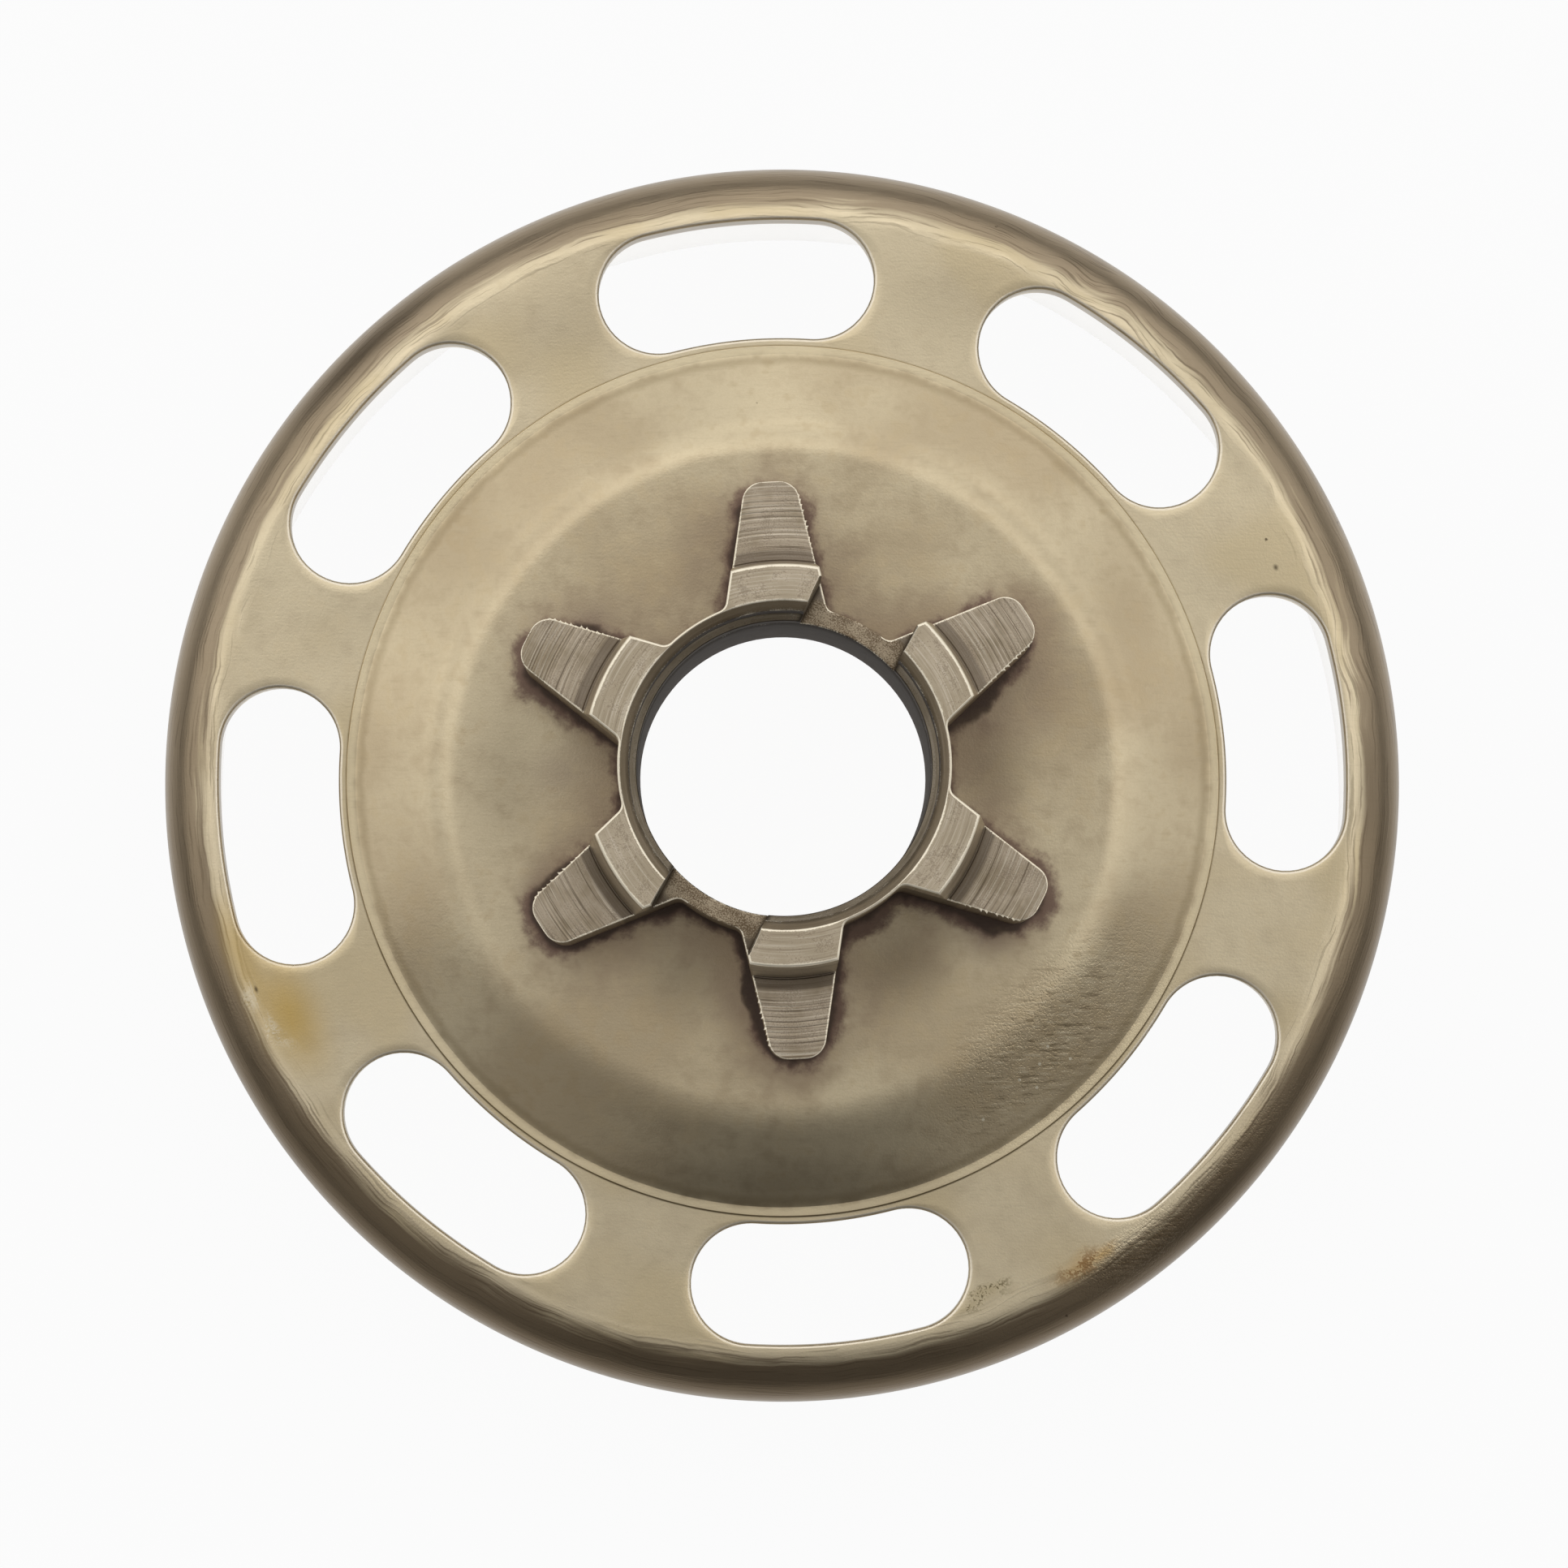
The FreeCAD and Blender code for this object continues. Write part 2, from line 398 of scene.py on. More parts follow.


# Values that the cup's mesh holds for its finish: distances, then places of wear and dirt, and of painted
# shade
cup_marks = {
    "slot_gap": slot_gap,
    "foot_gap": foot_gap,
    "amber_stain": blots((28.7, 232.8, 2.5, 4.6, 0.85), (29.9, 225.0, 1.3, 4.5, 0.55)),
    "scuffed": blots((30.2, 229.6, 0.6, 0.8, 2.0), (30.0, 233.8, 0.55, 0.8, 2.2),
                     (29.4, 235.6, 0.4, 0.6, 1.6)),
    "rusty": blots((29.9, 328.6, 0.9, 2.4, 0.9), (30.0, 331.5, 0.5, 0.9, 0.9)),
    "mouldy": blots((28.9, 318.8, 0.6, 1.4, 1.0), (29.4, 316.8, 0.4, 0.8, 0.8)),
    "nicked": blots((23.5, 352.5, 0.4, 1.0, 1.8), (23.5, 345.0, 0.3, 0.6, 1.4)),
    # Darker tint round the teeth's feet: partly heat tint, partly painted shade where shade falls under the
    # teeth
    "smoked": blots((10.8, 45.0, 2.6, 3.0, 1.0), (12.6, 172.0, 2.0, 3.2, 1.2),
                    (13.4, 237.0, 2.6, 3.4, 1.4), (11.6, 290.0, 2.2, 2.6, 1.0),
                    (13.4, 352.0, 2.0, 2.6, 1.2), (11.4, 206.0, 2.6, 2.4, 0.6)),
    "dull_web": blots((26.8, 96.0, 4.5, 12.0, 0.9), (26.8, 137.0, 4.5, 12.0, 1.1)),
    "worked": blots((19.4, -17.8, 4.2, 9.5, 1.0)),
    "pocked": blots((20.8, -30.0, 2.6, 8.0, 1.0), (20.2, -14.0, 2.6, 6.0, 0.7)),
    "wrinkled": blots((31.3, 84.0, 3.0, 17.0, 1.0), (31.3, 40.0, 2.4, 9.0, 0.6)),
    "rough_rim": blots((30.9, 334.0, 1.6, 4.5, 1.0), (30.9, 345.0, 0.9, 9.0, 0.6)),
    # Patches of painted shade: in the gaps between the teeth, low on the boss's slope and on the rim
    "grimy": blots((11.4, 270.0, 3.6, 4.2, 0.44), (11.4, 330.0, 3.6, 4.2, 0.44),
                   (11.0, 30.0, 3.0, 3.6, 0.3), (14.4, 207.0, 3.2, 6.0, 0.24),
                   (21.2, 297.0, 2.3, 13.0, 0.34), (30.9, 27.0, 1.2, 6.0, 0.32),
                   (31.7, 342.0, 1.0, 8.0, 0.5), (31.7, 162.0, 1.0, 8.0, 0.6)),
}

# Two deep pits: radius, azimuth in degrees and half-sizes
rim_pit = 29.75, 229.0, 0.14, 0.3
web_pit = 28.3, 50.5, 0.2, 0.26


def build_cup(finish):
    """The drawn cup as one closed skin: boss, slotted web, rim and wall, inside and out."""
    shell = Shell()
    slope = math.atan2(boss_rise - coined_height, boss_foot_radius - boss_shoulder_radius)
    shift = sheet * math.tan(slope / 2)
    foot_on_web = boss_foot_radius + coined_height / math.tan(slope)
    top = rounded_line([
        (hole_radius, boss_top_z, 0), (boss_shoulder_radius, boss_top_z, boss_shoulder_bend),
        (boss_foot_radius, web_z + coined_height, coined_bends[0]),
        (boss_foot_radius + coined_width - coined_lean_in, web_z + coined_height, coined_bends[1]),
        (boss_foot_radius + coined_width + coined_lean_out, web_z, coined_bends[2]),
        (sector_in, web_z, 0)], *seen_steps)
    shell.grid(waved(revolved(top, cup_angles)), around=True)
    bend_start = math.asin((sector_out - drum_radius + rim_bend) / rim_bend)
    bend = np.linspace(bend_start, math.pi / 2, rim_bend_points)
    rim = np.stack([drum_radius - rim_bend + rim_bend * np.sin(bend),
                    web_z - rim_bend + rim_bend * np.cos(bend)], -1)
    wall = rounded_line([
        (drum_radius, web_z - rim_bend, 0), (drum_radius, 0, mouth_bevel),
        (wall_radius, 0, mouth_bevel), (wall_radius, under_z, rim_bend - sheet),
        (under_sector_out, under_z, 0)], *wall_steps)
    shell.grid(waved(revolved(np.concatenate([rim, wall[1:]]), cup_angles)), around=True)
    under = rounded_line([
        (sector_in, under_z, 0), (foot_on_web - shift, under_z, boss_foot_bend),
        (boss_shoulder_radius - shift, boss_top_z - sheet, boss_shoulder_bend - sheet),
        (hole_radius, boss_top_z - sheet, 0), (hole_radius, boss_top_z, 0)], *under_steps)
    shell.grid(waved(revolved(under, cup_angles)), around=True)
    top_offsets = slot_roll_width * np.array([0, 0.12, 0.3, 0.6, 1.0])
    below_offsets = [0.05, 0.12]

    def rolled(radius, offset):
        return web_height(radius) - slot_roll_depth * (1 - offset / slot_roll_width) ** 2

    surround = slot_surround(top_offsets, sector_out, rolled)
    below = slot_surround(below_offsets, under_sector_out, lambda radius, offset: under_z + 0 * radius)
    share = np.array([0, 0.06, 0.35, 0.6, 0.8, 1.0])[:, None, None]
    side = surround[0] + share * (below[0] - surround[0])
    side[..., :2] = surround[0][:, :2] + (below[0] - surround[0])[:, :2] * share ** 2
    for step in range(slot_count):
        angle = math.radians(slot_first_deg) + step * 2 * half_sector
        for patch in (surround, side, below):
            shell.grid(waved(turned_about_axis(patch, angle)), around=True)
    return shell.build("cup_sheet", finish, sharp_deg=38.0, marks=cup_marks)


# Points along the stretches of a tooth's outline and of the ring's
fillet_points = 7
flank_under_ring_points = 5
flank_points = 140
tip_corner_points = 16
ring_arc_points = 8
ring_flank_points = 7
ring_root_points = 6

# Tooth outline: flank line, root arc and tip corner arc about fixed centres
flank_way = np.array([tip_radius - root_radius, tip_half_width - root_half_width])
flank_way /= np.linalg.norm(flank_way)
flank_normal = np.array([-flank_way[1], flank_way[0]])
flank_root = np.array([root_radius, root_half_width])
beside_root = flank_root + root_fillet * flank_normal
reach = beside_root @ flank_way
slide = -reach + math.sqrt(reach ** 2 - beside_root @ beside_root + (root_radius + root_fillet) ** 2)
fillet_centre = beside_root + slide * flank_way
corner_centre = np.array([tip_radius - tip_corner, 0.0])
corner_centre[1] = (flank_root[1]
                    - (tip_corner + flank_normal[0] * (corner_centre[0] - root_radius)) / flank_normal[1])


def directions(start, end, count):
    """Unit vectors at even angles, from the direction of start to that of end."""
    angle = np.linspace(math.atan2(*start[::-1]), math.atan2(*end[::-1]), count)
    return np.stack([np.cos(angle), np.sin(angle)], -1)


def tooth_side():
    """Left side of a tooth that lies along +X, from the root circle to the tip's flat, with its outward
    normals. Moving a point inwards by an inset is point - inset * normal."""
    fillet = directions(-fillet_centre, -flank_normal, fillet_points)
    flank_start = fillet_centre - root_fillet * flank_normal
    flank_end = corner_centre + tip_corner * flank_normal
    ring_overlap = 0.15
    under_ring = (ring_foot_radius - ring_overlap - flank_start[0]) / (flank_end[0] - flank_start[0])
    share = np.concatenate([np.linspace(0, under_ring, flank_under_ring_points)[1:-1],
                            np.linspace(under_ring, 1, flank_points)[:-1]])
    flank = flank_start + share[:, None] * (flank_end - flank_start)
    corner = directions(flank_normal, np.array([1.0, 0.0]), tip_corner_points)
    points = np.concatenate([fillet_centre + root_fillet * fillet, flank,
                             corner_centre + tip_corner * corner])
    normals = np.concatenate([-fillet, np.repeat(flank_normal[None], len(flank), 0), corner])
    return points, normals


def polar(plan):
    """Radius and angle of places in the plan."""
    return np.hypot(plan[..., 0], plan[..., 1]), np.arctan2(plan[..., 1], plan[..., 0])


# Turning grooves of the tooth ends, the undercut inside them and the burr they leave on the trailing flanks
groove_pitch = 0.27
groove_depth = 0.02
groove_start_radius = 11.25
groove_fade = 0.3
groove_wander = 0.3
groove_tremble = 0.05
undercut_radius = ring_foot_radius + 0.03
undercut_width = 0.04
undercut_depth = 0.04
burr_reach = 0.17
burr_set_back = 0.02
burr_end_radii = 14.0, 14.5
groove_strengths = rng.uniform(0.1, 1.0, 80)
burr_strengths = rng.uniform(0.1, 1.0, 200)


def groove_phase(radius, angle):
    """Number of turning grooves out to a radius, which wanders a little from tooth to tooth."""
    return (radius / groove_pitch + groove_wander * np.sin(2 * angle + 0.7)
            + groove_tremble * np.sin(31 * angle))


def face_height(radius, angle):
    """Height of the tooth end faces: narrow turning grooves of uneven depth, which start outside a smooth
    band, and a thin undercut at the foot of the ring."""
    phase = groove_phase(radius, angle)
    strength = groove_strengths[phase.astype(int) % len(groove_strengths)]
    groove = (0.5 - 0.5 * np.cos(2 * math.pi * phase)) ** 5 * strength
    reach = smooth(radius, groove_start_radius, groove_start_radius + groove_fade)
    undercut = undercut_depth * np.exp(-((radius - undercut_radius) / undercut_width) ** 2)
    return tooth_face_z - groove_depth * groove * reach - undercut


def burr(radius, angle):
    """How far the turned burr stands out of the trailing flank: a saw with the grooves' pitch."""
    phase = groove_phase(radius, angle)
    strength = burr_strengths[(phase.astype(int) * 7) % len(burr_strengths)]
    saw = (phase % 1.0) ** 2.5
    reach = (smooth(radius, groove_start_radius, groove_start_radius + groove_fade)
             * (1 - smooth(radius, *burr_end_radii)))
    return (burr_reach * saw * strength - burr_set_back) * reach


# Columns across a tooth's end face and steps along a root arc
face_columns = np.array([-1, -0.95, -0.88, -0.75, -0.6, -0.4, -0.2, 0, 0.2, 0.4, 0.6, 0.75, 0.88, 0.95, 1])
root_steps = 7

# Wear of edges that are less bright than the rest
trailing_wear = 0.8
root_wear = 0.45
slot_side_wear = 0.9


def toothed_body(shell):
    """Toothed part with its spigot and bore: grooved end faces, flanks with a burr, root arcs, and the
    turned surfaces within."""
    side, normal = tooth_side()
    edge_inset = 0.05
    edge_rounding = 0.06
    back_chamfer = 0.3
    radius, half_angle = polar(side - edge_inset * normal)
    root_angle = polar(side)[1][0]
    between = np.linspace(root_angle, tooth_step - root_angle, root_steps)[1:-1]
    face_wear = np.zeros((len(side), len(face_columns)))
    face_wear[:, -1] = 1.0
    face_wear[:, 0] = trailing_wear
    face_wear[-1] = 1.0
    faces = []
    for tooth in range(tooth_count):
        angle = tooth * tooth_step + half_angle[:, None] * face_columns
        out = np.repeat(radius[:, None], len(face_columns), 1)
        faces.append(on_circle(out, angle, face_height(out, angle)))
        shell.grid(faces[-1], wear=face_wear)

    def loop(inset, height, lift, burr_share):
        """Loop of the outline moved inwards by inset. The burr moves trailing flanks out, and lift is the
        share of the end face's grooves that the loop's height still has."""
        points = []
        out, turn = polar(side)
        lead_r, lead_a = polar(side - inset * normal)
        for tooth in range(tooth_count):
            start = tooth * tooth_step
            stand = burr_share * burr(out, start - turn)
            trail_r, trail_a = polar(side - (inset - stand)[:, None] * normal)
            tip_a = lead_a[-1] * face_columns[1:-1]
            outline_r = np.concatenate([trail_r, np.full(len(tip_a), lead_r[-1]), lead_r[::-1],
                                        np.full(len(between), root_radius - inset)])
            outline_a = start + np.concatenate([-trail_a, tip_a, lead_a[::-1], between])
            wave = face_height(outline_r, outline_a) - tooth_face_z
            points.append(on_circle(outline_r, outline_a, height + lift * wave))
        return np.concatenate(points)

    top = []
    for tooth, face in enumerate(faces):
        root = on_circle(root_radius - edge_inset, tooth * tooth_step + between, tooth_face_z)
        top.append(np.concatenate([face[:, 0], face[-1, 1:-1], face[::-1, -1], root]))
    rows = [np.concatenate(top)]
    for inset, drop, lift, burr_share in (
            (0.018, 0.012, 0.8, 0.8), (0.0, 0.05, 0.4, 1.0), (0.0, 0.12, 0.0, 0.5)):
        rows.append(loop(inset, tooth_face_z - drop, lift, burr_share))
    for height in np.linspace(tooth_face_z - 0.25, boss_top_z, 9):
        rows.append(loop(0.0, height, 0.0, 0.0))
    outline_length = len(rows[0]) // tooth_count
    in_gap = np.arange(outline_length) >= outline_length - len(between)
    edge_wear = np.tile(np.where(in_gap, root_wear, 1.0), tooth_count)
    wear = np.zeros((len(rows), len(rows[0])))
    wear[:2] = edge_wear
    wear[2] = edge_wear * 0.7
    shell.grid(np.stack(rows), around=True, wear=wear)

    base_angle = root_angle * face_columns
    per_tooth = np.concatenate([base_angle, between])
    angles = np.concatenate([tooth * tooth_step + per_tooth for tooth in range(tooth_count)])
    turned = rounded_line([
        (root_radius - edge_inset, tooth_face_z, 0), (root_radius - 0.12, tooth_face_z, 0),
        (bore_radius + 0.12, tooth_face_z, 0), (bore_radius, tooth_face_z, edge_rounding),
        (bore_radius, spigot_end_z, 0), (bore_radius + back_chamfer, spigot_end_z, 0),
        (spigot_radius, spigot_end_z, edge_rounding), (spigot_radius, boss_top_z, 0),
        (root_radius, boss_top_z, 0)], *bore_steps)
    turned[(turned[:, 0] == bore_radius) & (turned[:, 1] == spigot_end_z), 1] += back_chamfer
    from_bore_edge = np.hypot(turned[:, 0] - bore_radius, turned[:, 1] - tooth_face_z)
    turned_wear = np.exp(-(from_bore_edge / edge_rounding) ** 2)
    turned_wear[0] = root_wear
    shell.grid(revolved(turned, angles), around=True, wear=turned_wear[:, None])
    for tooth in range(tooth_count):
        last = rows[-1][tooth * outline_length:(tooth + 1) * outline_length - len(between)]
        base = on_circle(root_radius, tooth * tooth_step + base_angle[1:-1][::-1], boss_top_z)
        shell.flat_face(np.concatenate([last, base]))


def ring_quarter(ring_radius, inset):
    """Outline of the slotted ring in the plan, from the middle of the tooth on +X to the slot's side, at a
    height where the ring has ring_radius: ring arc, flank, root arcs, flank, ring arc and a last piece of
    flank that ends at the slot. All of it is moved inwards by inset."""
    start = flank_root - inset * flank_normal
    along = start @ flank_way
    far = -along + math.sqrt(along ** 2 - start @ start + (ring_radius - inset) ** 2)
    corner = start + far * flank_way
    corner_angle = math.atan2(corner[1], corner[0])
    foot = fillet_centre - (root_fillet + inset) * flank_normal
    flank_shares = np.linspace(0, 1, ring_flank_points)[1:, None]
    flank = corner + flank_shares * (foot - corner)
    around_fillet = directions(-flank_normal, -fillet_centre, fillet_points)[1:]
    fillet = fillet_centre + (root_fillet + inset) * around_fillet
    root_angle = math.atan2(fillet[-1][1], fillet[-1][0])
    arc_angles = np.linspace(0, corner_angle, ring_arc_points)
    root_angles = np.linspace(root_angle, tooth_step / 2, ring_root_points)[1:]
    arc = on_circle(ring_radius - inset, arc_angles, 0)[:, :2]
    root = on_circle(root_radius - inset, root_angles, 0)[:, :2]
    near = np.concatenate([arc, flank, fillet, root])

    def mirrored(plan):
        """The plan on the other side of the line half a tooth step away, in the opposite order."""
        radius, angle = polar(plan)
        return on_circle(radius, tooth_step - angle, 0)[::-1, :2]

    second = mirrored(near)[1:]
    beyond = on_circle(ring_radius - inset, tooth_step + arc_angles[1:], 0)[:, :2]
    cosine, sine = math.cos(tooth_step), math.sin(tooth_step)
    turn = np.array([[cosine, -sine], [sine, cosine]])
    far_corner, way = turn @ corner, turn @ -flank_way
    stop = (slot_half_width + inset - far_corner[0]) / way[0]
    last = far_corner + stop * flank_shares * way
    return np.concatenate([near, second, beyond, last])


def ring_half(shell, mirror):
    """One of the ring's two pieces: rows run up the bore, across the face and down the outside, and columns
    from one side of the slot to the other. mirror is -1 for the piece on -X."""

    def half_outline(ring_radius, inset):
        quarter = ring_quarter(ring_radius, inset)
        return np.concatenate([quarter[::-1], (quarter * [1, -1])[1:]])

    outer_radius, outer_angle = polar(half_outline(ring_top_radius, 0.1))
    end_angle = outer_angle.max()

    def inner(radius, height, inset=0.0):
        end = math.acos((slot_half_width + inset) / radius)
        return on_circle(radius, outer_angle * end / end_angle, height)

    rows, wear = [], []

    def add_row(row, worn):
        rows.append(row)
        wear.append(worn)

    sunk_z = tooth_face_z - 0.1
    mouth_radius = relief_radius + mouth_chamfer
    for radius, height, worn in (
            (bore_radius, sunk_z, 0), (bore_radius, relief_ledge_z - bore_relief, 0),
            (relief_radius, relief_ledge_z, 0.3), (relief_radius, relief_ledge_z + 0.9, 0),
            (relief_radius, ring_face_z - mouth_chamfer - 0.03, 0.5),
            (relief_radius + 0.02, ring_face_z - mouth_chamfer + 0.02, 0.4),
            (relief_radius + 0.2, ring_face_z - mouth_chamfer + 0.2, 0),
            (mouth_radius - 0.05, ring_face_z - 0.05, 0.2), (mouth_radius - 0.015, ring_face_z - 0.015, 1)):
        add_row(inner(radius, height), worn)
    start_radius, start_angle = polar(inner(mouth_radius + 0.01, ring_face_z, 0.03))
    for share, worn in ((0, 1.0), (0.05, 0.35), (0.12, 0), (0.3, 0), (0.5, 0), (0.7, 0), (0.88, 0),
                        (0.96, 0.3)):
        add_row(on_circle(start_radius + share * (outer_radius - start_radius),
                          start_angle + share * (outer_angle - start_angle), ring_face_z), worn)
    outer_rows = [(0.1, 0.0, 1), (0.045, 0.015, 1), (0.01, 0.05, 1), (0.0, 0.1, 0.6), (0.0, 0.2, 0)]
    outer_rows += [(0.0, drop, 0) for drop in np.linspace(0.8, ring_face_z - sunk_z, 5)]
    for inset, drop, worn in outer_rows:
        plan = half_outline(ring_top_radius + drop * ring_taper, inset)
        add_row(np.concatenate([plan, np.full((len(plan), 1), ring_face_z - drop)], -1), worn)
    points = np.stack(rows) * [mirror, 1, 1]
    wear = np.repeat(np.array(wear, float)[:, None], points.shape[1], 1)
    top_rows = points[:, 0, 2] > ring_face_z - 0.06
    wear[top_rows, 0] = slot_side_wear
    wear[top_rows, -1] = slot_side_wear
    shell.grid(points, rows_around=True, wear=wear)
    for column in (0, -1):
        shell.flat_face(points[:, column], wear=wear[:, column])


def build_sprocket(finish):
    """The sprocket: toothed body, and the two pieces of the slotted ring on its end."""
    shell = Shell()
    toothed_body(shell)
    ring_half(shell, 1)
    ring_half(shell, -1)
    return shell.build("sprocket_turned", finish, sharp_deg=32.0, marks={})


def srgb(*display):
    """Linear colour of an 8-bit display colour."""
    share = np.array(display) / 255
    linear = np.where(share < 0.04045, share / 12.92, ((share + 0.055) / 1.055) ** 2.4)
    return (*linear.tolist(), 1.0)


class Value:
    """A number in a material. Arithmetic on it adds Math nodes."""

    def __init__(self, finish, socket):
        self.finish = finish
        self.socket = socket

    def __add__(self, other):
        return self.finish.math("ADD", self, other)

    def __sub__(self, other):
        return self.finish.math("SUBTRACT", self, other)

    def __rsub__(self, other):
        return self.finish.math("SUBTRACT", other, self)

    def __mul__(self, other):
        return self.finish.math("MULTIPLY", self, other)

    def __truediv__(self, other):
        return self.finish.math("DIVIDE", self, other)

    __radd__ = __add__
    __rmul__ = __mul__


class Finish:
    """The nodes of a material or of the world, and the colour that a material has so far."""

    def __init__(self, owner):
        owner.use_nodes = True
        self.owner = owner
        self.tree = owner.node_tree
        self.tree.nodes.clear()
        self.colour = srgb(0, 0, 0)

    def node(self, kind, settings, inputs, output=0):
        """Adds a node: its settings first, then a value or a link for each input by name or number. It
        gives one of the node's outputs, if it has any."""
        made = self.tree.nodes.new(kind)
        for name, setting in settings.items():
            setattr(made, name, setting)
        for name, value in inputs.items():
            if isinstance(value, Value):
                self.tree.links.new(value.socket, made.inputs[name])
            else:
                made.inputs[name].default_value = value
        return Value(self, made.outputs[output]) if made.outputs else None

    def math(self, operation, *values, clamp=False):
        return self.node("ShaderNodeMath", {"operation": operation, "use_clamp": clamp},
                         dict(enumerate(values)))

    def both(self, one, other):
        """Product of two values, kept between 0 and 1."""
        return self.math("MULTIPLY", one, other, clamp=True)

    def least(self, one, other):
        return self.math("MINIMUM", one, other)

    def most(self, one, other):
        return self.math("MAXIMUM", one, other)

    def length(self, one, other):
        """Length of the long side of a right triangle over two others."""
        return self.math("SQRT", one * one + other * other)

    def step(self, value, low, high):
        """0 below low, 1 above high, and a smooth step between."""
        return self.node("ShaderNodeMapRange", {"interpolation_type": "SMOOTHSTEP"},
                         {"Value": value, "From Min": low, "From Max": high})

    def fade(self, value, low, high):
        """1 below low, 0 above high, and a smooth step between."""
        return 1 - self.step(value, low, high)

    def band(self, value, middle, half_width):
        """1 at middle and 0 from half_width away, with soft sides."""
        return self.fade(self.math("ABSOLUTE", value - middle), 0.0, half_width)

    def vector(self, x, y, z):
        return self.node("ShaderNodeCombineXYZ", {}, {"X": x, "Y": y, "Z": z})

    def noise(self, place, scale, detail, roughness):
        """Value between 0 and 1 that changes softly from place to place."""
        return self.node("ShaderNodeTexNoise", {}, {
            "Vector": place, "Scale": scale, "Detail": detail, "Roughness": roughness})

    def cells(self, place, scale, dimensions):
        """Distance from the nearest of the points scattered through space or, for 2D, over the plan, and a
        random value for each."""
        gap = self.node("ShaderNodeTexVoronoi", {"voronoi_dimensions": dimensions},
                        {"Vector": place, "Scale": scale}, "Distance")
        return gap, Value(self, gap.socket.node.outputs["Color"])

    def mix(self, share, one, other):
        """Colour between one and other by share."""
        return self.node("ShaderNodeMix", {"data_type": "RGBA"}, {0: share, 6: one, 7: other}, 2)

    def paint(self, share, colour):
        """Brings the colour so far nearer to another, a display colour or a value, by share."""
        other = colour if isinstance(colour, Value) else srgb(*colour)
        self.colour = self.mix(share, self.colour, other)

    def place(self):
        """Object place in millimetres, with its x, y and z."""
        metres = self.node("ShaderNodeTexCoord", {}, {}, "Object")
        place = self.node("ShaderNodeVectorMath", {"operation": "SCALE"}, {0: metres, "Scale": 1 / MM})
        return [place] + [self.node("ShaderNodeSeparateXYZ", {}, {0: place}, axis) for axis in "XYZ"]

    def mark(self, name):
        """Value that the mesh holds for each point under a name."""
        return self.node("ShaderNodeAttribute", {"attribute_name": name}, {}, "Fac")

    def blot(self, x, y, radius, azimuth_deg, radial, around):
        """Soft oval spot: 1 in its middle and 0 at its edge, with half-sizes radial and around."""
        out, along = turned_axes(x, y, azimuth_deg)
        return self.fade(self.length((out - radius) / radial, along / around), 0.0, 1.0)

    def surface(self, roughness, metallic, relief, relief_depth, relief_strength):
        """Ends the material: its colour so far, with a bump that is relief_depth deep at a relief of 1."""
        normal = self.node("ShaderNodeBump", {}, {
            "Strength": relief_strength, "Distance": relief_depth * MM, "Height": relief})
        shader = self.node("ShaderNodeBsdfPrincipled", {}, {
            "Base Color": self.colour, "Roughness": roughness, "Metallic": metallic, "Normal": normal})
        self.node("ShaderNodeOutputMaterial", {}, {"Surface": shader})
        return self.owner


# Distances outwards over the rim's bend: where the darker rim, partly painted shade, and the wall begin, and
# a line of painted highlight
rim_begins = 30.0, 31.1
wall_begins = 33.6, 35.2
highlight_middle, highlight_half_width = 30.05, 0.75


